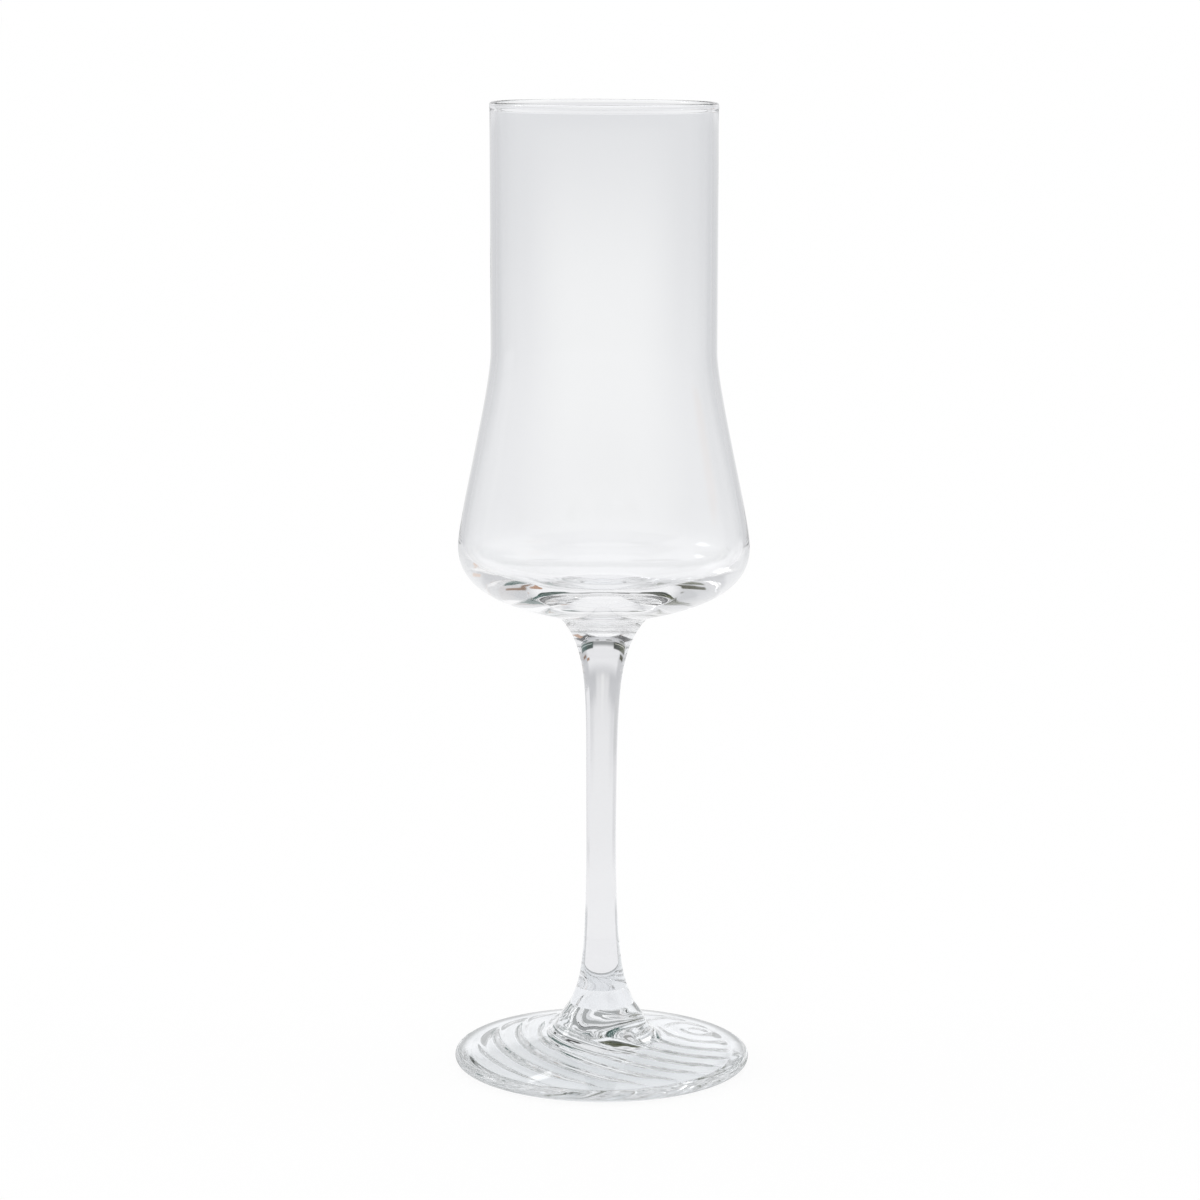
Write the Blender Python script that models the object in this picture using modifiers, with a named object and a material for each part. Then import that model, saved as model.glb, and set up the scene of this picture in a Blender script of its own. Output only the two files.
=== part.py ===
"""Clear stemmed grappa glass: chimney bowl, drawn stem, ripple-pressed foot.

Metres, +Z up, the foot's resting ring on Z = 0, the glass's axis on Z.
"""
import math

import bpy

# Overall sizes
FOOT_HEIGHT = 0.0126            # floor to the joint under the stem
STEM_LENGTH = 0.0814            # joint to joint, measured at the edges of the two seats
BOWL_HEIGHT = 0.1054            # joint under the bowl to the lip
FOOT_RADIUS = 0.0308
BELLY_RADIUS = 0.0300           # widest part of the bowl, outside
RIM_RADIUS = 0.0231             # chimney, outside

# Bowl
WALL = 0.0012                   # chimney and shoulder
BELLY_RISE = 0.0151             # joint to the widest ring
NECK_RISE = 0.0554              # joint to the foot of the straight chimney
BOWL_FLOOR = 0.0057             # joint to the lowest point of the inside
HEEL_TO_STEM = 0.0033           # fillet between the flat underside and the stem
LIP_HEIGHT = 0.0020             # fire-polished bead of the lip
LIP_PROUD = 0.0002              # how far the bead stands out from the wall on either side

# Stem
BOWL_JOINT_RADIUS = 0.0088      # shared by the bowl's button and the stem's head
FOOT_JOINT_RADIUS = 0.0067      # shared by the stem's tail and the foot's flare
WAIST_RADIUS = 0.0031
WAIST_DROP = 0.0435             # head of the stem down to its thinnest place
SEAT_RISE = 0.0010              # height of the lens-shaped seat at either joint

# Foot
FOOT_EDGE = 0.0026              # thickness of the rounded edge
FLARE_RADIUS = 0.0140           # where the flare has run out into the foot's upper face
FLARE_HEIGHT = 0.0050
BORDER_WIDTH = 0.0036           # plain ring outside the ripples
UNDERSIDE_RECESS = 0.0003       # ripple crests stay this far above the table
RIPPLE_PITCH = 0.00486
RIPPLE_DEPTH = 0.0008
RIPPLE_OFFSET = 0.0228          # ripple centre from the axis
RIPPLE_AZIMUTH = math.radians(28.8)

# Fits
SEAM_GAP = 0.0003               # clearance of the fused joints
CUT_MARGIN = 0.0020             # how far a cutter passes the face that it cuts

# Fineness
BOWL_STEPS = 48
STEM_STEPS = 32
FOOT_STEPS = 64
DIE_STEPS = 60
WAVE_POINTS = 8                 # points along one ripple

# Levels that follow from the sizes
FOOT_JOINT_Z = FOOT_HEIGHT
STEM_TAIL_Z = FOOT_JOINT_Z + SEAM_GAP
STEM_HEAD_Z = STEM_TAIL_Z + STEM_LENGTH
BOWL_BASE_Z = STEM_HEAD_Z + SEAM_GAP
LIP_Z = BOWL_BASE_Z + BOWL_HEIGHT
BORDER_RADIUS = FOOT_RADIUS - BORDER_WIDTH


def bezier(start, pull_start, pull_end, end, count):
    """Points of a cubic curve from start up to, but without, its end."""
    points = []
    for index in range(count):
        t = index / count
        s = 1.0 - t
        points.append(tuple(
            s ** 3 * a + 3 * s * s * t * b + 3 * s * t * t * c + t ** 3 * d
            for a, b, c, d in zip(start, pull_start, pull_end, end)))
    return points


def ellipse(centre, reach, rise, first, last, count):
    """Points of an elliptic arc, angles in degrees from the outward direction."""
    points = []
    for index in range(count + 1):
        angle = math.radians(first + (last - first) * index / count)
        points.append((centre[0] + reach * math.cos(angle),
                       centre[1] + rise * math.sin(angle)))
    return points


def seat(radius, level, rise, count):
    """Lens-shaped seat from the axis out to its edge; rise is the height at the axis."""
    points = []
    for index in range(count):
        share = index / count
        points.append((radius * share, level + rise * (1.0 - share * share)))
    return points


def clear_scene():
    for item in list(bpy.data.objects):
        bpy.data.objects.remove(item, do_unlink=True)
    for group in list(bpy.data.collections):
        bpy.data.collections.remove(group)


def new_collection(name):
    group = bpy.data.collections.new(name)
    bpy.context.scene.collection.children.link(group)
    return group


def glass(name, tint):
    material = bpy.data.materials.new(name)
    material.use_nodes = True
    shader = material.node_tree.nodes["Principled BSDF"]
    shader.inputs["Base Color"].default_value = (*tint, 1.0)
    shader.inputs["Roughness"].default_value = 0.03
    shader.inputs["IOR"].default_value = 1.52
    shader.inputs["Transmission Weight"].default_value = 1.0
    return material


def turned(name, profile, steps, group, material=None):
    """Turned body: a profile that ends on the axis at both ends, swept once round."""
    mesh = bpy.data.meshes.new(name)
    edges = [(index, index + 1) for index in range(len(profile) - 1)]
    mesh.from_pydata([(r, 0.0, z) for r, z in profile], edges, [])
    body = bpy.data.objects.new(name, mesh)
    group.objects.link(body)
    screw = body.modifiers.new("turn", "SCREW")
    screw.axis = "Z"
    screw.angle = math.tau
    screw.steps = steps
    screw.render_steps = steps
    screw.use_merge_vertices = True
    screw.merge_threshold = 0.00001
    screw.use_smooth_shade = True
    if material:
        mesh.materials.append(material)
    return body


def boolean(body, tool, operation):
    cut = body.modifiers.new(operation.lower(), "BOOLEAN")
    cut.operation = operation
    cut.solver = "EXACT"
    cut.object = tool
    tool.hide_render = True
    tool.display_type = "WIRE"


def bowl_profile():
    base = BOWL_BASE_Z
    belly = (BELLY_RADIUS, base + BELLY_RISE)
    neck = (RIM_RADIUS, base + NECK_RISE)
    lip_centre = (RIM_RADIUS - WALL / 2, LIP_Z - LIP_HEIGHT / 2)
    lip_foot = LIP_Z - 1.35 * LIP_HEIGHT
    inner_belly = (BELLY_RADIUS - WALL, base + BELLY_RISE + WALL / 2)
    inner_neck = (RIM_RADIUS - WALL, base + NECK_RISE)
    floor = (0.0, base + BOWL_FLOOR)
    shoulder = neck[1] - belly[1]
    drop = belly[1] - base
    inner_drop = inner_belly[1] - floor[1]
    heel = (BOWL_JOINT_RADIUS + HEEL_TO_STEM, base + 0.09 * drop)

    points = bezier(floor,
                    (0.71 * inner_belly[0], floor[1]),
                    (inner_belly[0], inner_belly[1] - 0.70 * inner_drop),
                    inner_belly, 13)
    points += bezier(inner_belly,
                     (inner_belly[0], inner_belly[1] + 0.15 * shoulder),
                     (inner_neck[0], inner_neck[1] - 0.20 * shoulder),
                     inner_neck, 10)
    points += [inner_neck, (inner_neck[0], lip_foot)]
    points += ellipse(lip_centre, WALL / 2 + LIP_PROUD, LIP_HEIGHT / 2, 180, 0, 6)
    points += [(neck[0], lip_foot)]
    points += bezier(neck,
                     (neck[0], neck[1] - 0.20 * shoulder),
                     (belly[0], belly[1] + 0.15 * shoulder),
                     belly, 10)
    points += bezier(belly,
                     (belly[0], belly[1] - 0.56 * drop),
                     (heel[0] + 0.53 * (belly[0] - heel[0]), heel[1] + 0.165 * drop),
                     heel, 12)
    points += bezier(heel,
                     (heel[0] - 0.42 * HEEL_TO_STEM, heel[1] - 0.025 * drop),
                     (BOWL_JOINT_RADIUS + 0.13 * HEEL_TO_STEM, base + 0.03 * drop),
                     (BOWL_JOINT_RADIUS, base), 4)
    points += [(BOWL_JOINT_RADIUS, base)]
    points += reversed(seat(BOWL_JOINT_RADIUS, base, SEAT_RISE, 5))
    return points


def stem_profile():
    waist_z = STEM_HEAD_Z - WAIST_DROP
    head = (BOWL_JOINT_RADIUS, STEM_HEAD_Z)
    waist = (WAIST_RADIUS, waist_z)
    tail = (FOOT_JOINT_RADIUS, STEM_TAIL_Z)
    upper = STEM_HEAD_Z - waist_z
    lower = waist_z - STEM_TAIL_Z
    swell = BOWL_JOINT_RADIUS - WAIST_RADIUS
    spread = FOOT_JOINT_RADIUS - WAIST_RADIUS
    points = seat(BOWL_JOINT_RADIUS, STEM_HEAD_Z, SEAT_RISE, 5)
    points += bezier(head,
                     (waist[0] - 0.08 * swell, STEM_HEAD_Z - 0.17 * upper),
                     (waist[0] + 0.055 * swell, STEM_HEAD_Z - 0.38 * upper),
                     waist, 14)
    points += bezier(waist,
                     (waist[0] - 0.03 * spread, waist_z - 0.886 * lower),
                     (tail[0] - 0.43 * spread, STEM_TAIL_Z + 0.116 * lower),
                     tail, 12)
    points += [tail]
    points += reversed(seat(FOOT_JOINT_RADIUS, STEM_TAIL_Z, -SEAT_RISE, 5))
    return points


def foot_profile():
    joint = (FOOT_JOINT_RADIUS, FOOT_JOINT_Z)
    flare = (FLARE_RADIUS, FLARE_HEIGHT)
    edge_radius = FOOT_EDGE / 2
    edge_centre = (FOOT_RADIUS - edge_radius, edge_radius)
    slope = (FLARE_HEIGHT - FOOT_EDGE) / (edge_centre[0] - FLARE_RADIUS)
    fall = FOOT_JOINT_Z - FLARE_HEIGHT
    reach = FLARE_RADIUS - FOOT_JOINT_RADIUS
    points = seat(FOOT_JOINT_RADIUS, FOOT_JOINT_Z, -SEAT_RISE, 5)
    points += bezier(joint,
                     (joint[0] + 0.36 * reach, joint[1] - 0.38 * fall),
                     (flare[0] - 0.55 * reach, flare[1] + 0.55 * reach * slope),
                     flare, 9)
    points += [flare]
    points += ellipse(edge_centre, edge_radius, edge_radius, 90, -90, 8)
    points += [(0.0, 0.0)]
    return points


def die_profile():
    """The pressing die under the foot: round waves that spread from its own axis."""
    reach = RIPPLE_OFFSET + BORDER_RADIUS + CUT_MARGIN
    waves = math.ceil(reach / RIPPLE_PITCH)
    points = []
    for index in range(waves * WAVE_POINTS + 1):
        turn = math.tau * index / WAVE_POINTS
        height = UNDERSIDE_RECESS + RIPPLE_DEPTH * (1.0 + math.cos(turn)) / 2
        points.append((RIPPLE_PITCH * index / WAVE_POINTS, height))
    points.append((points[-1][0], -CUT_MARGIN))
    points.append((0.0, -CUT_MARGIN))
    return points


clear_scene()
parts = new_collection("grappa_glass")
cutters = new_collection("cutters")

bowl = turned("bowl", bowl_profile(), BOWL_STEPS, parts, glass("bowl_glass", (0.93, 0.95, 0.96)))
stem = turned("stem", stem_profile(), STEM_STEPS, parts, glass("stem_glass", (0.90, 0.90, 0.93)))
foot = turned("foot", foot_profile(), FOOT_STEPS, parts, glass("foot_glass", (0.88, 0.91, 0.91)))

# Ripples: the die is trimmed to the plain border and pressed into the foot's underside
die = turned("ripple_die", die_profile(), DIE_STEPS, cutters)
die.location = (RIPPLE_OFFSET * math.cos(RIPPLE_AZIMUTH),
                RIPPLE_OFFSET * math.sin(RIPPLE_AZIMUTH),
                0.0)
border = turned("ripple_border",
                [(0.0, 2 * CUT_MARGIN), (BORDER_RADIUS, 2 * CUT_MARGIN),
                 (BORDER_RADIUS, -CUT_MARGIN / 2), (0.0, -CUT_MARGIN / 2)],
                FOOT_STEPS, cutters)
boolean(die, border, "INTERSECT")
boolean(foot, die, "DIFFERENCE")
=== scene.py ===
"""Looks of the grappa glass: three fused glass pieces, a white sweep and a soft light tent.

Metres, the CAD part's own frame: +Z up, the axis of the glass on Z, the viewer on -Y.
"""
import math
from collections import namedtuple

import bpy
import numpy as np
from mathutils import Matrix, Vector


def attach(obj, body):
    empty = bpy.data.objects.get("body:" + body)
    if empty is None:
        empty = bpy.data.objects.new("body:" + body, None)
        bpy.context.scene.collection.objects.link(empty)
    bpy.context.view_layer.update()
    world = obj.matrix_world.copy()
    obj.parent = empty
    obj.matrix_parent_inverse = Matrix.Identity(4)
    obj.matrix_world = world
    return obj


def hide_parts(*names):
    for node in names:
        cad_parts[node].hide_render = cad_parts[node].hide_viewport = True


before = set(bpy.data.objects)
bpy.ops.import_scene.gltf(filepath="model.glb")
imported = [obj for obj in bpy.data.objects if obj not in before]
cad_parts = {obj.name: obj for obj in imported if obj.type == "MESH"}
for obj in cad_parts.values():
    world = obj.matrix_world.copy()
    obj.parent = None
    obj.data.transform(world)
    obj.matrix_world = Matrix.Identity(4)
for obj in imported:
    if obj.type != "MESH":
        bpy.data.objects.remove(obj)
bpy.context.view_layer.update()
scene = bpy.context.scene

# Camera, solved from the rim's and the foot's ellipses; lens and sensor in millimetres
CAMERA_DISTANCE = 0.70845
CAMERA_HEIGHT = 0.21943
CAMERA_SIDE = -0.0008
CAMERA_PITCH = math.radians(9.7032)
CAMERA_ROLL = math.radians(0.27)
CAMERA_LENS = 104.572
CAMERA_SENSOR = 36.0
CAMERA_NEAR = 0.01

# Sizes of the CAD part
FOOT_HEIGHT = 0.0126
STEM_LENGTH = 0.0814
BOWL_HEIGHT = 0.1054
SEAM_GAP = 0.0003
SEAT_RISE = 0.0010
BELLY_RADIUS = 0.0300
BELLY_RISE = 0.0151
RIM_RADIUS = 0.0231
NECK_RISE = 0.0554
WALL = 0.0012
BOWL_FLOOR = 0.0057
HEEL_TO_STEM = 0.0033
BOWL_JOINT_RADIUS = 0.0088
WAIST_RADIUS = 0.0031
WAIST_DROP = 0.0435
FOOT_JOINT_RADIUS = 0.0067
FLARE_RADIUS = 0.0140
FLARE_HEIGHT = 0.0050
FOOT_RADIUS = 0.0308
FOOT_EDGE = 0.0026
BORDER_WIDTH = 0.0036
UNDERSIDE_RECESS = 0.0003
RIPPLE_PITCH = 0.00486
RIPPLE_DEPTH = 0.0008
RIPPLE_OFFSET = 0.0228
RIPPLE_AZIMUTH = math.radians(28.8)

# Small forms that only this script makes. The softness of the ridges is a share of their depth, and the
# lean of the bowl is a slope.
LIP_PROUD = 0.00006
LIP_HEIGHT = 0.0014
FOOT_CROWN = 0.0001
BORDER_RISE = 0.0002
RIPPLE_FADE = 0.0040
RIDGE_SOFTNESS = 0.15
STEM_BOW = 0.00036
BOWL_LEAN = 0.0041

# Unevenness of hand-worked glass: heights of the waves, and where they come and go. In the bowl these
# are heights over the joint, on the flare they are radii.
BOTTOM_WAVE = 0.000008
BOTTOM_WAVE_COMES = (0.0006, 0.0030)
BOTTOM_WAVE_GOES = (0.0160, 0.0090)
FLARE_WAVE = 0.00003
FLARE_WAVE_COMES = (FOOT_JOINT_RADIUS, 0.0074)
FLARE_WAVE_GOES = (0.0200, 0.0150)
FLARE_WAVE_SCALE = 1.6
# The two wave patterns: radians per metre, and where each wave starts
SQUARE_X, SQUARE_Y = 520, 430
SQUARE_START_X, SQUARE_START_Y = 1.0, 2.1
SLANT_X, SLANT_Y, SLANT_ACROSS = 760, 390, 610
SLANT_START, SLANT_START_ACROSS = 0.4, 0.9
SLANT_SHARE = 0.7

# Pulls of the profile curves and places along them, as shares of the widths and heights that they span
INNER_FLAT = 0.71
INNER_CORNER = 0.70
SHOULDER_PULL_BELLY = 0.15
SHOULDER_PULL_NECK = 0.20
LIP_START = 1.35
LIP_PULL_WALL = 0.20
LIP_PULL_BEAD = 0.30
BELLY_PULL = 0.56
HEEL_RISE = 0.09
HEEL_PULL_OUT = (0.53, 0.165)
HEEL_PULL_IN = (0.42, 0.025)
BOWL_JOINT_PULL = (0.13, 0.03)
STEM_HEAD_PULL = (0.08, 0.17)
STEM_UPPER_PULL = (0.055, 0.38)
STEM_LOWER_PULL = (0.03, 0.886)
STEM_TAIL_PULL = (0.43, 0.116)
FLARE_TOP_PULL = (0.36, 0.38)
FLARE_FOOT_PULL = 0.55

# The fused joints lie in the middle of the CAD gaps, with a hair between the pieces
HAIR = 0.000004
FOOT_JOINT_Z = FOOT_HEIGHT + SEAM_GAP / 2
BOWL_JOINT_Z = FOOT_HEIGHT + SEAM_GAP + STEM_LENGTH + SEAM_GAP / 2
LIP_Z = FOOT_HEIGHT + SEAM_GAP + STEM_LENGTH + SEAM_GAP + BOWL_HEIGHT
BORDER_RADIUS = FOOT_RADIUS - BORDER_WIDTH
RIPPLE_CENTRE = (RIPPLE_OFFSET * math.cos(RIPPLE_AZIMUTH), RIPPLE_OFFSET * math.sin(RIPPLE_AZIMUTH))

# Fineness: steps round the axis, then rows along the profiles
BOWL_STEPS = 256
STEM_STEPS = 128
FOOT_STEPS = 360
SEAT_ROWS = 12
BELLY_ROWS = 60
SHOULDER_ROWS = 40
CHIMNEY_ROWS = 12
LIP_BLEND_ROWS = 8
LIP_ROWS = 24
HEEL_ROWS = 24
STEM_UPPER_ROWS = 70
STEM_LOWER_ROWS = 60
FLARE_ROWS = 32
FOOT_TOP_ROWS = 32
FOOT_EDGE_ROWS = 24
BORDER_ROWS = 8
UNDERSIDE_ROWS = 150
SHARP_ANGLE = math.radians(50)
TINY = 1e-7

# Glass: refraction, tints, scale and strength of the slow waviness, then the fine marks of the press
GLASS_IOR = 1.52
BOWL_TINT = (0.970, 0.974, 0.980)
STEM_TINT = (0.82, 0.823, 0.835)
FOOT_TINT = (0.92, 0.935, 0.945)
BOWL_WAVINESS = (45.0, 0.02)
STEM_WAVINESS = (60.0, 0.03)
FOOT_WAVINESS = (60.0, 0.03)
WAVINESS_DEPTH = 0.001
MARKS_ACROSS = 1400.0
MARKS_ALONG = 9.0
MARKS_DEPTH = 0.00001

# Material slots of a piece
OWN_GLASS, JOINT_FACE, PRESSED_FACE = range(3)


# Turned meshes


def bezier(start, pull_start, pull_end, end, count):
    """Points of a cubic curve from start up to, but without, its end."""
    points = []
    for index in range(count):
        t = index / count
        s = 1.0 - t
        points.append(tuple(
            s ** 3 * a + 3 * s * s * t * b + 3 * s * t * t * c + t ** 3 * d
            for a, b, c, d in zip(start, pull_start, pull_end, end)))
    return points


def ellipse(centre, reach, rise, first, last, count):
    """Points of an elliptic arc, angles in degrees from the outward direction."""
    points = []
    for index in range(count + 1):
        angle = math.radians(first + (last - first) * index / count)
        points.append((centre[0] + reach * math.cos(angle), centre[1] + rise * math.sin(angle)))
    return points


def seat(radius, level, rise):
    """Lens-shaped seat from the axis out to, but without, its edge; rise is the height at the axis."""
    shares = [index / SEAT_ROWS for index in range(SEAT_ROWS)]
    return [(radius * share, level + rise * (1 - share ** 2)) for share in shares]


def lathe(name, profile, steps, materials, seat_segments, pressed_segments=()):
    """Closed turned mesh from a profile that ends on the axis at both ends."""
    verts = []
    rings = []
    for r, z in profile:
        if r < TINY:
            rings.append([len(verts)])
            verts.append((0.0, 0.0, z))
        else:
            first = len(verts)
            rings.append(list(range(first, first + steps)))
            for k in range(steps):
                angle = math.tau * k / steps
                verts.append((r * math.cos(angle), r * math.sin(angle), z))
    faces = []
    kinds = []
    for index in range(len(profile) - 1):
        upper, lower = rings[index], rings[index + 1]
        kind = OWN_GLASS
        if index in seat_segments:
            kind = JOINT_FACE
        elif index in pressed_segments:
            kind = PRESSED_FACE
        for k in range(steps):
            n = (k + 1) % steps
            if len(upper) == 1:
                faces.append((upper[0], lower[k], lower[n]))
            elif len(lower) == 1:
                faces.append((upper[k], lower[0], upper[n]))
            else:
                faces.append((upper[k], lower[k], lower[n], upper[n]))
            kinds.append(kind)
    mesh = bpy.data.meshes.new(name)
    mesh.from_pydata(verts, [], faces)
    for material in materials:
        mesh.materials.append(material)
    mesh.polygons.foreach_set("material_index", kinds)
    mesh.polygons.foreach_set("use_smooth", [True] * len(faces))
    mesh.set_sharp_from_angle(angle=SHARP_ANGLE)
    body = bpy.data.objects.new(name, mesh)
    scene.collection.objects.link(body)
    return body


def moved(body, move):
    """Shifts the vertices of a turned mesh: move takes and returns arrays of x, y and z."""
    mesh = body.data
    spots = np.zeros(len(mesh.vertices) * 3)
    mesh.vertices.foreach_get("co", spots)
    spots = spots.reshape(-1, 3)
    spots = np.stack(move(spots[:, 0], spots[:, 1], spots[:, 2]), axis=1)
    mesh.vertices.foreach_set("co", spots.ravel())
    mesh.update()


# Materials


def calculation(nodes, links, operation, *values):
    """A math node; values are sockets or numbers."""
    node = nodes.new("ShaderNodeMath")
    node.operation = operation
    for index, value in enumerate(values):
        if isinstance(value, (int, float)):
            node.inputs[index].default_value = value
        else:
            links.new(value, node.inputs[index])
    return node.outputs["Value"]


def glass(name, tint, waviness):
    """Clear glass with the slow waviness of hand-finished ware."""
    scale, strength = waviness
    material = bpy.data.materials.new(name)
    material.use_nodes = True
    nodes, links = material.node_tree.nodes, material.node_tree.links
    shader = nodes["Principled BSDF"]
    shader.inputs["Base Color"].default_value = (*tint, 1.0)
    shader.inputs["Roughness"].default_value = 0.0
    shader.inputs["IOR"].default_value = GLASS_IOR
    shader.inputs["Transmission Weight"].default_value = 1.0
    place = nodes.new("ShaderNodeTexCoord")
    wave = nodes.new("ShaderNodeTexNoise")
    wave.inputs["Scale"].default_value = scale
    wave.inputs["Detail"].default_value = 1.0
    bump = nodes.new("ShaderNodeBump")
    bump.inputs["Strength"].default_value = strength
    bump.inputs["Distance"].default_value = WAVINESS_DEPTH
    links.new(place.outputs["Object"], wave.inputs["Vector"])
    links.new(wave.outputs["Fac"], bump.inputs["Height"])
    links.new(bump.outputs["Normal"], shader.inputs["Normal"])
    return material


def pressed(name, tint, waviness):
    """Glass that a die has chilled: fine marks that follow the ripples."""
    material = glass(name, tint, waviness)
    nodes, links = material.node_tree.nodes, material.node_tree.links
    shader = nodes["Principled BSDF"]
    smooth = shader.inputs["Normal"].links[0].from_socket
    place = nodes.new("ShaderNodeTexCoord")
    away = nodes.new("ShaderNodeVectorMath")
    away.operation = "SUBTRACT"
    away.inputs[1].default_value = (*RIPPLE_CENTRE, 0.0)
    links.new(place.outputs["Object"], away.inputs[0])
    turn = nodes.new("ShaderNodeVectorRotate")
    turn.rotation_type = "Z_AXIS"
    turn.inputs["Angle"].default_value = math.pi - RIPPLE_AZIMUTH
    links.new(away.outputs["Vector"], turn.inputs["Vector"])
    split = nodes.new("ShaderNodeSeparateXYZ")
    links.new(turn.outputs["Vector"], split.inputs["Vector"])
    bearing = calculation(nodes, links, "ARCTAN2", split.outputs["Y"], split.outputs["X"])
    length = nodes.new("ShaderNodeVectorMath")
    length.operation = "LENGTH"
    links.new(away.outputs["Vector"], length.inputs[0])
    along = nodes.new("ShaderNodeCombineXYZ")
    links.new(length.outputs["Value"], along.inputs["X"])
    links.new(bearing, along.inputs["Y"])
    stretch = nodes.new("ShaderNodeVectorMath")
    stretch.operation = "MULTIPLY"
    stretch.inputs[1].default_value = (MARKS_ACROSS, MARKS_ALONG, 1.0)
    links.new(along.outputs["Vector"], stretch.inputs[0])
    marks = nodes.new("ShaderNodeTexNoise")
    marks.inputs["Scale"].default_value = 1.0
    marks.inputs["Detail"].default_value = 2.0
    links.new(stretch.outputs["Vector"], marks.inputs["Vector"])
    bump = nodes.new("ShaderNodeBump")
    bump.inputs["Strength"].default_value = 1.0
    bump.inputs["Distance"].default_value = MARKS_DEPTH
    links.new(marks.outputs["Fac"], bump.inputs["Height"])
    links.new(smooth, bump.inputs["Normal"])
    links.new(bump.outputs["Normal"], shader.inputs["Normal"])
    return material


def fused(name):
    """The face of a fused joint, where light passes from glass to glass without a change."""
    material = bpy.data.materials.new(name)
    material.use_nodes = True
    nodes, links = material.node_tree.nodes, material.node_tree.links
    nodes.remove(nodes["Principled BSDF"])
    clear = nodes.new("ShaderNodeBsdfTransparent")
    links.new(clear.outputs["BSDF"], nodes["Material Output"].inputs["Surface"])
    return material


# Profiles, as radius and height; each also tells which of its segments lie on a fused joint


def bowl_profile():
    """From the middle of the bowl's floor up the inside, over the lip and down the outside."""
    base = BOWL_JOINT_Z + HAIR
    joint = (BOWL_JOINT_RADIUS, base)
    belly = (BELLY_RADIUS, base + BELLY_RISE)
    neck = (RIM_RADIUS, base + NECK_RISE)
    lip_centre = (RIM_RADIUS - WALL / 2, LIP_Z - LIP_HEIGHT / 2)
    lip_reach = WALL / 2 + LIP_PROUD
    inner_belly = (BELLY_RADIUS - WALL, base + BELLY_RISE + WALL / 2)
    inner_neck = (RIM_RADIUS - WALL, base + NECK_RISE)
    floor = (0.0, base + BOWL_FLOOR)
    shoulder = neck[1] - belly[1]
    drop = belly[1] - base
    inner_drop = inner_belly[1] - floor[1]
    heel = (joint[0] + HEEL_TO_STEM, base + HEEL_RISE * drop)
    lip_foot = LIP_Z - LIP_START * LIP_HEIGHT
    chimney = lip_foot - inner_neck[1]

    points = bezier(floor,
                    (INNER_FLAT * inner_belly[0], floor[1]),
                    (inner_belly[0], inner_belly[1] - INNER_CORNER * inner_drop),
                    inner_belly, BELLY_ROWS)
    points += bezier(inner_belly,
                     (inner_belly[0], inner_belly[1] + SHOULDER_PULL_BELLY * shoulder),
                     (inner_neck[0], inner_neck[1] - SHOULDER_PULL_NECK * shoulder),
                     inner_neck, SHOULDER_ROWS)
    for row in range(CHIMNEY_ROWS):
        points.append((inner_neck[0], inner_neck[1] + chimney * row / CHIMNEY_ROWS))
    points += bezier((inner_neck[0], lip_foot),
                     (inner_neck[0], lip_foot + LIP_PULL_WALL * LIP_HEIGHT),
                     (lip_centre[0] - lip_reach, lip_centre[1] - LIP_PULL_BEAD * LIP_HEIGHT),
                     (lip_centre[0] - lip_reach, lip_centre[1]), LIP_BLEND_ROWS)
    points += ellipse(lip_centre, lip_reach, LIP_HEIGHT / 2, 180, 0, LIP_ROWS)
    points += bezier((lip_centre[0] + lip_reach, lip_centre[1]),
                     (lip_centre[0] + lip_reach, lip_centre[1] - LIP_PULL_BEAD * LIP_HEIGHT),
                     (neck[0], lip_foot + LIP_PULL_WALL * LIP_HEIGHT),
                     (neck[0], lip_foot), LIP_BLEND_ROWS)[1:]
    for row in range(CHIMNEY_ROWS):
        points.append((neck[0], lip_foot - chimney * row / CHIMNEY_ROWS))
    points += bezier(neck,
                     (neck[0], neck[1] - SHOULDER_PULL_NECK * shoulder),
                     (belly[0], belly[1] + SHOULDER_PULL_BELLY * shoulder),
                     belly, SHOULDER_ROWS)
    points += bezier(belly,
                     (belly[0], belly[1] - BELLY_PULL * drop),
                     (heel[0] + HEEL_PULL_OUT[0] * (belly[0] - heel[0]), heel[1] + HEEL_PULL_OUT[1] * drop),
                     heel, BELLY_ROWS)
    points += bezier(heel,
                     (heel[0] - HEEL_PULL_IN[0] * HEEL_TO_STEM, heel[1] - HEEL_PULL_IN[1] * drop),
                     (joint[0] + BOWL_JOINT_PULL[0] * HEEL_TO_STEM, joint[1] + BOWL_JOINT_PULL[1] * drop),
                     joint, HEEL_ROWS)
    seat_start = len(points)
    points += [joint]
    points += reversed(seat(joint[0], joint[1], SEAT_RISE))
    return points, set(range(seat_start, len(points) - 1))


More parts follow.
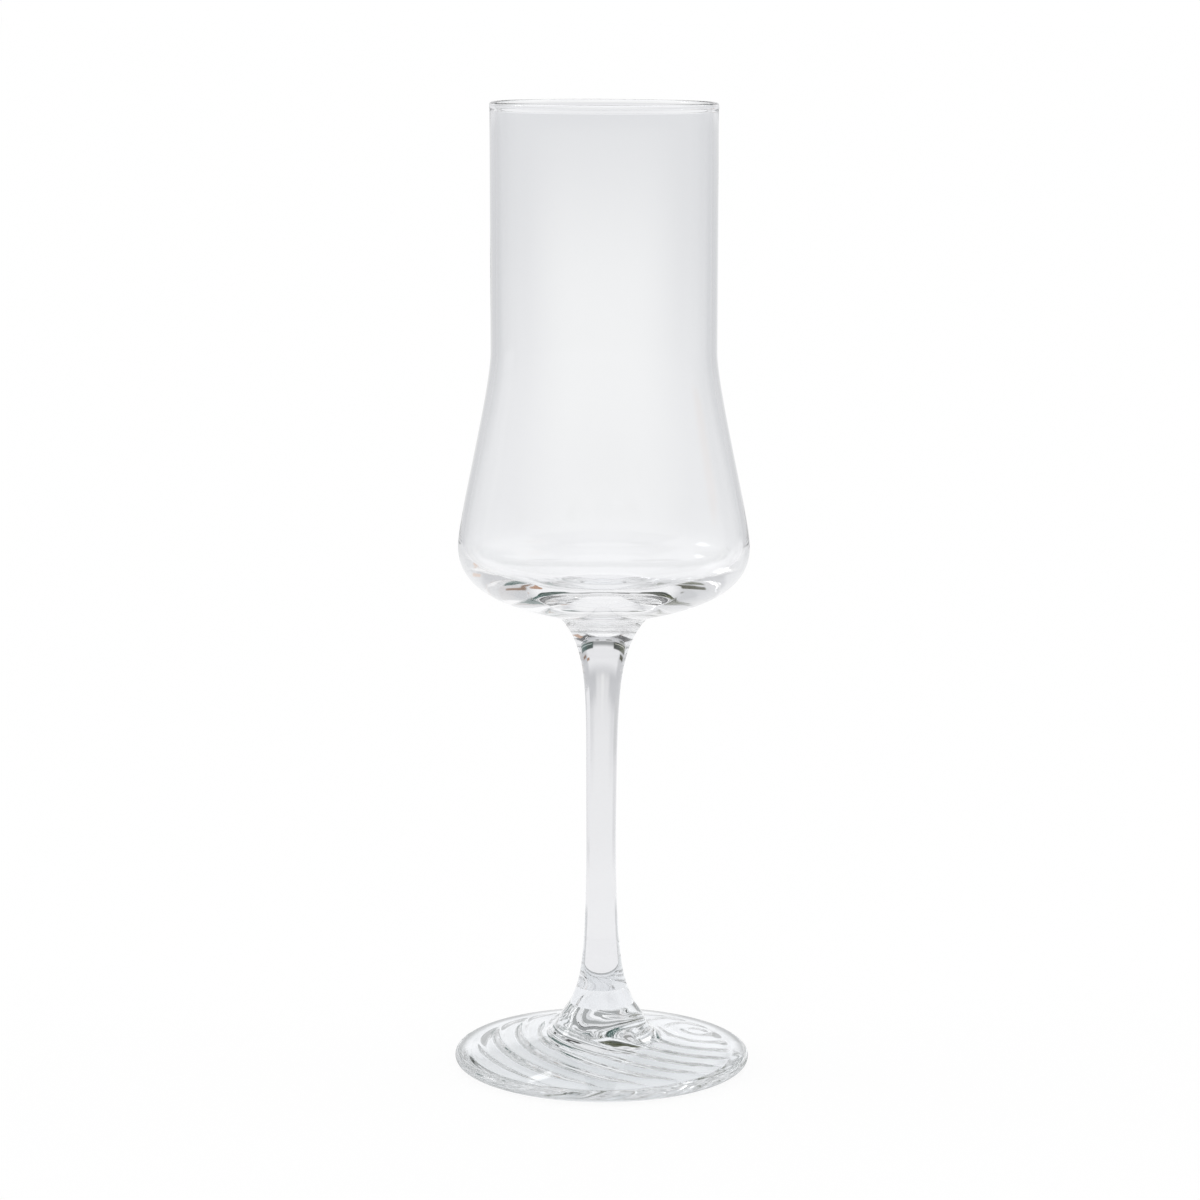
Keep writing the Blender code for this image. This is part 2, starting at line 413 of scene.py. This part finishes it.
def stem_profile():
    """From the seat under the bowl down the outside to the seat on the foot."""
    head = (BOWL_JOINT_RADIUS, BOWL_JOINT_Z - HAIR)
    waist = (WAIST_RADIUS, BOWL_JOINT_Z - WAIST_DROP)
    tail = (FOOT_JOINT_RADIUS, FOOT_JOINT_Z + HAIR)
    upper = head[1] - waist[1]
    lower = waist[1] - tail[1]
    swell = head[0] - waist[0]
    spread = tail[0] - waist[0]

    points = seat(head[0], head[1], SEAT_RISE)
    head_joint = len(points)
    points += bezier(head,
                     (waist[0] - STEM_HEAD_PULL[0] * swell, head[1] - STEM_HEAD_PULL[1] * upper),
                     (waist[0] + STEM_UPPER_PULL[0] * swell, head[1] - STEM_UPPER_PULL[1] * upper),
                     waist, STEM_UPPER_ROWS)
    points += bezier(waist,
                     (waist[0] - STEM_LOWER_PULL[0] * spread, waist[1] - STEM_LOWER_PULL[1] * lower),
                     (tail[0] - STEM_TAIL_PULL[0] * spread, tail[1] + STEM_TAIL_PULL[1] * lower),
                     tail, STEM_LOWER_ROWS)
    tail_joint = len(points)
    points += [tail]
    points += reversed(seat(tail[0], tail[1], -SEAT_RISE))
    return points, set(range(head_joint)) | set(range(tail_joint, len(points) - 1))


def foot_profile():
    """From the seat under the stem over the upper face and round the edge to the underside.

    It also tells which segments are the pressed underside.
    """
    joint = (FOOT_JOINT_RADIUS, FOOT_JOINT_Z - HAIR)
    flare = (FLARE_RADIUS, FLARE_HEIGHT)
    edge_rise = (FOOT_EDGE - BORDER_RISE) / 2
    edge_centre = (FOOT_RADIUS - FOOT_EDGE / 2, BORDER_RISE + edge_rise)
    width = edge_centre[0] - flare[0]
    slope = (FLARE_HEIGHT - FOOT_EDGE - 4 * FOOT_CROWN) / width
    fall = joint[1] - flare[1]
    reach = flare[0] - joint[0]

    points = seat(joint[0], joint[1], -SEAT_RISE)
    seat_end = len(points)
    points += bezier(joint,
                     (joint[0] + FLARE_TOP_PULL[0] * reach, joint[1] - FLARE_TOP_PULL[1] * fall),
                     (flare[0] - FLARE_FOOT_PULL * reach, flare[1] + FLARE_FOOT_PULL * reach * slope),
                     flare, FLARE_ROWS)
    for row in range(FOOT_TOP_ROWS):
        t = row / FOOT_TOP_ROWS
        crown = 4 * FOOT_CROWN * t * (1 - t)
        points.append((flare[0] + width * t, flare[1] + (FOOT_EDGE - flare[1]) * t + crown))
    points += ellipse(edge_centre, FOOT_EDGE / 2, edge_rise, 90, -90, FOOT_EDGE_ROWS)
    for row in range(1, BORDER_ROWS):
        t = row / BORDER_ROWS
        points.append((edge_centre[0] + (BORDER_RADIUS - edge_centre[0]) * t, BORDER_RISE * (1 - t)))
    under = len(points)
    for row in range(UNDERSIDE_ROWS + 1):
        points.append((BORDER_RADIUS * (1.0 - row / UNDERSIDE_ROWS), 0.0))
    return points, set(range(seat_end)), set(range(under, len(points) - 1))


# Pressed and hand-worked forms, as moves of the turned meshes


def smooth_step(value, start, end):
    """0 at the start, 1 at the end, with a soft run between them."""
    share = np.clip((value - start) / (end - start), 0.0, 1.0)
    return share * share * (3.0 - 2.0 * share)


def unevenness(x, y):
    """Slow waves of hand-worked glass, between about -1 and 1."""
    square = np.sin(SQUARE_X * x + SQUARE_START_X) * np.sin(SQUARE_Y * y + SQUARE_START_Y)
    slant = np.sin(SLANT_X * x - SLANT_Y * y + SLANT_START) * np.sin(SLANT_ACROSS * y + SLANT_START_ACROSS)
    return (square + SLANT_SHARE * slant) / (1.0 + SLANT_SHARE)


def uneven_bottom(x, y, z):
    """The thick bottom of the bowl is not quite true."""
    rise = z - BOWL_JOINT_Z
    share = smooth_step(rise, *BOTTOM_WAVE_COMES) * smooth_step(rise, *BOTTOM_WAVE_GOES)
    return x, y, z + BOTTOM_WAVE * share * unevenness(x, y)


def leaning_bowl(x, y, z):
    """The bowl leans a hair to the left of the stem's axis."""
    return x - BOWL_LEAN * (z - BOWL_JOINT_Z), y, z


def bowed_stem(x, y, z):
    """The drawn stem is bowed a hair to the left between its ends."""
    share = (z - FOOT_JOINT_Z) / (BOWL_JOINT_Z - FOOT_JOINT_Z)
    return x - STEM_BOW * np.sin(math.pi * np.clip(share, 0.0, 1.0)), y, z


def rippled_underside(x, y, z):
    """Round waves pressed into the underside; they run out softly at the plain border."""
    radius = np.hypot(x, y)
    under = (radius < BORDER_RADIUS) & (z < TINY)
    share = smooth_step(BORDER_RADIUS - radius, 0.0, RIPPLE_FADE)
    away = np.hypot(x - RIPPLE_CENTRE[0], y - RIPPLE_CENTRE[1])
    turn = math.pi * away / RIPPLE_PITCH
    wave = RIPPLE_DEPTH * np.hypot(np.cos(turn), RIDGE_SOFTNESS)
    return x, y, np.where(under, z + share * (UNDERSIDE_RECESS + wave), z)


def uneven_flare(x, y, z):
    """The flare of the foot is not quite true."""
    radius = np.hypot(x, y)
    share = smooth_step(radius, *FLARE_WAVE_COMES) * smooth_step(radius, *FLARE_WAVE_GOES)
    wave = unevenness(FLARE_WAVE_SCALE * x, FLARE_WAVE_SCALE * y)
    return x, y, z + FLARE_WAVE * share * (z > FOOT_EDGE) * wave


# The three pieces

bowl_glass = glass("bowl_clear_glass", BOWL_TINT, BOWL_WAVINESS)
stem_glass = glass("stem_clear_glass", STEM_TINT, STEM_WAVINESS)
foot_glass = glass("foot_clear_glass", FOOT_TINT, FOOT_WAVINESS)
pressed_glass = pressed("foot_pressed_glass", FOOT_TINT, FOOT_WAVINESS)
joint_face = fused("fused_joint_face")

profile, seats = bowl_profile()
bowl = lathe("glass_bowl", profile, BOWL_STEPS, (bowl_glass, joint_face), seats)
moved(bowl, uneven_bottom)
moved(bowl, leaning_bowl)

profile, seats = stem_profile()
stem = lathe("glass_stem", profile, STEM_STEPS, (stem_glass, joint_face), seats)
moved(stem, bowed_stem)

profile, seats, underside = foot_profile()
foot = lathe("glass_foot", profile, FOOT_STEPS, (foot_glass, joint_face, pressed_glass), seats, underside)
moved(foot, rippled_underside)
moved(foot, uneven_flare)

PIECES = (
    (bowl, "bowl", "bowl_glass"),
    (stem, "stem", "stem_glass"),
    (foot, "foot", "foot_glass"),
)
for piece, node, slot in PIECES:
    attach(piece, "root")
    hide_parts(node)


# Stage

# The studio that the glass sees. Angles in degrees: azimuth from the backdrop behind the glass towards
# the right, half-width before the soft edge, lowest and highest elevation, softness of the edge; then
# the light from there. A later window lies over the earlier ones. Below the horizon the windows lie on
# the floor, which shows them to the glass as painted light and shade on the table.
Window = namedtuple("Window", "name azimuth half_width low high softness light")
STUDIO_LEVEL = (0.68, 0.68, 0.69)
STUDIO_WINDOWS = (
    ("overhead_softbox", 0.0, 180.0, 66.0, 100.0, 6.0, (1.10, 1.10, 1.10)),
    ("room_in_front", 180.0, 30.0, 16.0, 66.0, 6.0, (0.40, 0.40, 0.40)),
    ("front_corner_left", -130.0, 20.0, 20.0, 66.0, 5.0, (0.05, 0.05, 0.05)),
    ("front_corner_right", 130.0, 20.0, 20.0, 66.0, 5.0, (0.05, 0.05, 0.05)),
    ("right_panel", 84.0, 22.0, 18.0, 62.0, 4.0, (1.00, 1.00, 1.00)),
    ("left_panel", -84.0, 22.0, 18.0, 62.0, 4.0, (1.00, 1.00, 1.00)),
    ("tent_wall", 0.0, 180.0, -14.0, 15.0, 4.0, (0.66, 0.665, 0.68)),
    ("table", 0.0, 180.0, -100.0, -12.0, 6.0, (0.84, 0.84, 0.85)),
    ("tent_sides", 180.0, 106.0, -14.0, 15.0, 6.0, (0.80, 0.805, 0.815)),
    ("table_sides", 180.0, 106.0, -50.0, -12.0, 6.0, (0.92, 0.92, 0.93)),
    ("backdrop_wash", 0.0, 6.0, -30.0, -1.5, 8.0, (0.87, 0.87, 0.875)),
    ("backdrop_glow", 0.0, -1.0, -30.0, -2.0, 4.0, (0.955, 0.955, 0.95)),
    ("backdrop", 0.0, 24.0, 1.0, 36.0, 8.0, (0.96, 0.96, 0.97)),
    ("upper_backdrop", 0.0, 16.0, 19.0, 36.0, 6.0, (0.34, 0.35, 0.35)),
    ("back_softbox", 0.0, 46.0, 36.0, 70.0, 3.0, (0.85, 0.85, 0.86)),
    ("back_gap_left", -9.0, 4.0, 37.0, 43.0, 1.0, (0.02, 0.02, 0.02)),
    ("back_gap_right", 10.0, 2.0, 37.0, 43.0, 1.0, (0.02, 0.02, 0.02)),
    ("back_lamp", -5.9, 0.3, 33.0, 34.5, 0.6, (2.40, 2.40, 2.40)),
    ("left_lamp", -75.0, 6.0, 23.5, 33.5, 1.5, (5.00, 5.00, 5.00)),
    ("left_card", -42.0, 6.0, 9.5, 13.5, 1.6, (0.05, 0.05, 0.02)),
    ("left_card_inner", -24.0, 6.0, 16.0, 36.0, 2.0, (0.03, 0.04, 0.03)),
    ("left_card_high", -40.0, 8.0, 16.0, 46.0, 2.0, (0.06, 0.07, 0.03)),
    ("right_card_inner", 24.0, 6.0, 16.0, 36.0, 2.0, (0.03, 0.06, 0.05)),
    ("right_card_high", 40.0, 8.0, 16.0, 46.0, 2.0, (0.03, 0.09, 0.08)),
    ("left_card_slit", -34.0, 16.0, 23.0, 24.0, 0.6, (0.70, 0.70, 0.60)),
    ("left_card_slit_high", -34.0, 16.0, 31.0, 32.0, 0.6, (0.60, 0.60, 0.55)),
    ("right_card_slit", 34.0, 16.0, 22.0, 23.0, 0.6, (0.60, 0.70, 0.66)),
    ("right_card_slit_high", 34.0, 16.0, 30.0, 31.0, 0.6, (0.55, 0.62, 0.60)),
    ("wood_shelf", 41.0, 5.0, 9.5, 12.0, 1.6, (0.26, 0.17, 0.12)),
    ("wood_strip", 30.0, 3.0, 6.5, 8.5, 0.8, (0.45, 0.27, 0.18)),
    ("wood_side", 75.0, 4.0, 5.0, 12.0, 1.5, (0.78, 0.64, 0.56)),
    ("wood_right", 105.0, 9.0, 36.0, 50.0, 2.0, (0.50, 0.30, 0.20)),
    # Painted light on the table: lighter the nearer it lies to the glass
    ("far_table", 0.0, 8.0, -100.0, -12.0, 14.0, (0.97, 0.97, 0.975)),
    ("middle_table", 0.0, 30.0, -100.0, -21.0, 10.0, (1.00, 1.00, 1.005)),
    ("close_table", 0.0, 75.0, -100.0, -36.0, 12.0, (1.03, 1.03, 1.035)),
    ("near_table", 0.0, 180.0, -100.0, -58.0, 8.0, (1.02, 1.02, 1.03)),
    # Painted shade and light on the table, seen through the stem: a darker strip on the left, a lighter one
    # on the right
    ("left_strip", -50.0, 8.0, -20.0, -7.5, 4.0, (0.70, 0.705, 0.71)),
    ("right_strip", 48.0, 9.0, -32.0, -6.5, 3.0, (0.98, 0.98, 0.99)),
    ("left_shade", -90.0, 35.0, -80.0, -50.0, 6.0, (0.70, 0.71, 0.72)),
    ("right_shade", 90.0, 35.0, -80.0, -50.0, 6.0, (0.66, 0.67, 0.68)),
    ("contact_shade", 0.0, 180.0, -100.0, -74.5, 0.8, (0.42, 0.43, 0.43)),
    # Painted light: a pool of caustic light on the table under the foot
    ("painted_caustic_under_foot", 0.0, 180.0, -100.0, -76.5, 1.0, (1.00, 1.01, 1.03)),
)
# A round soft shade on the table under the foot, over all windows: direction, width of its edge, light
FOOT_SHADE_TOWARDS = (0.0, -0.13, -1.0)
FOOT_SHADE_EDGE = 13.0
FOOT_SHADE_LIGHT = (0.74, 0.76, 0.78)
STUDIO_HEART = (0.0, 0.0, 0.12)

# Floor: its size, its place under the foot, and how much of its white shows to the camera
FLOOR_SIDE = 80.0
FLOOR_DROP = 0.0001
FLOOR_COLOUR = (0.86, 0.86, 0.86, 1.0)
FLOOR_ROUGHNESS = 0.9
FLOOR_SHARE = 0.85
FLOOR_STRENGTH = 1.075
WHITE = (1.0, 1.0, 1.0, 1.0)

# Light passes many faces of the glass
ALL_BOUNCES = 96
GLASS_BOUNCES = 64


def inside(nodes, links, distance, half_width, softness):
    """1 where the distance is less than the half-width, 0 beyond its soft edge."""
    fade = nodes.new("ShaderNodeMapRange")
    fade.interpolation_type = "SMOOTHSTEP"
    fade.inputs["From Min"].default_value = half_width + softness / 2
    fade.inputs["From Max"].default_value = half_width - softness / 2
    links.new(distance, fade.inputs["Value"])
    return fade.outputs["Result"]


def laid_over(nodes, links, light, share, colour):
    """The light with another colour laid over it by a share."""
    mix = nodes.new("ShaderNodeMixRGB")
    mix.inputs["Color2"].default_value = (*colour, 1.0)
    links.new(share, mix.inputs["Fac"])
    links.new(light, mix.inputs["Color1"])
    return mix.outputs["Color"]


def window_share(nodes, links, azimuth, elevation, window):
    """How much of a studio window lies in a direction, 0 to 1."""
    turned = calculation(nodes, links, "SUBTRACT", azimuth, window.azimuth)
    turned = calculation(nodes, links, "WRAP", turned, 180.0, -180.0)
    aside = calculation(nodes, links, "ABSOLUTE", turned)
    raised = calculation(nodes, links, "SUBTRACT", elevation, (window.low + window.high) / 2)
    above = calculation(nodes, links, "ABSOLUTE", raised)
    across = inside(nodes, links, aside, window.half_width + window.softness, window.softness)
    upright = inside(nodes, links, above, (window.high - window.low) / 2, window.softness)
    return calculation(nodes, links, "MULTIPLY", across, upright)


def foot_shade_share(nodes, links, direction):
    """How much of the shade under the foot lies in a direction, 0 to 1."""
    facing = nodes.new("ShaderNodeVectorMath")
    facing.operation = "DOT_PRODUCT"
    facing.inputs[1].default_value = Vector(FOOT_SHADE_TOWARDS).normalized()
    links.new(direction, facing.inputs[0])
    off = calculation(nodes, links, "ARCCOSINE", facing.outputs["Value"])
    off = calculation(nodes, links, "DEGREES", off)
    return inside(nodes, links, off, FOOT_SHADE_EDGE / 2, FOOT_SHADE_EDGE)


def studio_light(nodes, links, direction):
    """Adds the studio to a node tree; returns the socket of the light from a direction."""
    split = nodes.new("ShaderNodeSeparateXYZ")
    links.new(direction, split.inputs["Vector"])
    turn = calculation(nodes, links, "ARCTAN2", split.outputs["X"], split.outputs["Y"])
    azimuth = calculation(nodes, links, "DEGREES", turn)
    rise = calculation(nodes, links, "ARCSINE", split.outputs["Z"])
    elevation = calculation(nodes, links, "DEGREES", rise)
    level = nodes.new("ShaderNodeRGB")
    level.outputs[0].default_value = (*STUDIO_LEVEL, 1.0)
    light = level.outputs[0]
    for window in map(Window._make, STUDIO_WINDOWS):
        share = window_share(nodes, links, azimuth, elevation, window)
        light = laid_over(nodes, links, light, share, window.light)
    share = foot_shade_share(nodes, links, direction)
    return laid_over(nodes, links, light, share, FOOT_SHADE_LIGHT)


def white_sweep():
    """Floor material: white with the shadow of the glass; in the glass it shows the studio, with its
    painted light and shade on the table.
    """
    material = bpy.data.materials.new("white_sweep")
    material.use_nodes = True
    nodes, links = material.node_tree.nodes, material.node_tree.links
    shader = nodes["Principled BSDF"]
    shader.inputs["Base Color"].default_value = FLOOR_COLOUR
    shader.inputs["Roughness"].default_value = FLOOR_ROUGHNESS
    shader.inputs["Specular IOR Level"].default_value = 0.0
    spot = nodes.new("ShaderNodeNewGeometry")
    away = nodes.new("ShaderNodeVectorMath")
    away.operation = "SUBTRACT"
    away.inputs[1].default_value = STUDIO_HEART
    links.new(spot.outputs["Position"], away.inputs[0])
    direction = nodes.new("ShaderNodeVectorMath")
    direction.operation = "NORMALIZE"
    links.new(away.outputs["Vector"], direction.inputs[0])
    studio = nodes.new("ShaderNodeEmission")
    links.new(studio_light(nodes, links, direction.outputs["Vector"]), studio.inputs["Color"])
    white = nodes.new("ShaderNodeEmission")
    white.inputs["Color"].default_value = WHITE
    white.inputs["Strength"].default_value = FLOOR_STRENGTH
    path = nodes.new("ShaderNodeLightPath")
    shown = calculation(nodes, links, "MULTIPLY", path.outputs["Is Camera Ray"], FLOOR_SHARE)
    shown = calculation(nodes, links, "MAXIMUM", shown, path.outputs["Is Glossy Ray"])
    shown = calculation(nodes, links, "MAXIMUM", shown, path.outputs["Is Transmission Ray"])
    glow = nodes.new("ShaderNodeMixShader")
    links.new(path.outputs["Is Camera Ray"], glow.inputs["Fac"])
    links.new(studio.outputs["Emission"], glow.inputs[1])
    links.new(white.outputs["Emission"], glow.inputs[2])
    mix = nodes.new("ShaderNodeMixShader")
    links.new(shown, mix.inputs["Fac"])
    links.new(shader.outputs["BSDF"], mix.inputs[1])
    links.new(glow.outputs["Shader"], mix.inputs[2])
    links.new(mix.outputs["Shader"], nodes["Material Output"].inputs["Surface"])
    return material


def plain_floor():
    """Square floor just under the foot."""
    mesh = bpy.data.meshes.new("floor")
    side = FLOOR_SIDE / 2
    corners = [(-side, -side, 0.0), (side, -side, 0.0), (side, side, 0.0), (-side, side, 0.0)]
    mesh.from_pydata(corners, [], [(0, 1, 2, 3)])
    mesh.materials.append(white_sweep())
    floor = bpy.data.objects.new("floor", mesh)
    scene.collection.objects.link(floor)
    floor.location.z = -FLOOR_DROP


def light_tent():
    """World: white behind the object, and the studio for the glass and for the light on the floor."""
    world = bpy.data.worlds.new("light_tent")
    scene.world = world
    world.use_nodes = True
    nodes, links = world.node_tree.nodes, world.node_tree.links
    tent = nodes["Background"]
    place = nodes.new("ShaderNodeTexCoord")
    links.new(studio_light(nodes, links, place.outputs["Generated"]), tent.inputs["Color"])
    white = nodes.new("ShaderNodeBackground")
    white.inputs["Color"].default_value = WHITE
    path = nodes.new("ShaderNodeLightPath")
    mix = nodes.new("ShaderNodeMixShader")
    links.new(path.outputs["Is Camera Ray"], mix.inputs["Fac"])
    links.new(tent.outputs["Background"], mix.inputs[1])
    links.new(white.outputs["Background"], mix.inputs[2])
    links.new(mix.outputs["Shader"], nodes["World Output"].inputs["Surface"])


def photo_camera():
    """The camera of the photograph."""
    data = bpy.data.cameras.new("photo_camera")
    data.sensor_width = CAMERA_SENSOR
    data.lens = CAMERA_LENS
    data.clip_start = CAMERA_NEAR
    body = bpy.data.objects.new("photo_camera", data)
    scene.collection.objects.link(body)
    place = Matrix.Translation((CAMERA_SIDE, -CAMERA_DISTANCE, CAMERA_HEIGHT))
    turn = Matrix.Rotation(math.pi / 2 - CAMERA_PITCH, 4, "X")
    roll = Matrix.Rotation(CAMERA_ROLL, 4, "Z")
    body.matrix_world = place @ turn @ roll
    scene.camera = body


plain_floor()
light_tent()
photo_camera()

scene.view_settings.view_transform = "Standard"
scene.cycles.max_bounces = ALL_BOUNCES
scene.cycles.transmission_bounces = GLASS_BOUNCES
scene.cycles.glossy_bounces = GLASS_BOUNCES
scene.cycles.transparent_max_bounces = GLASS_BOUNCES
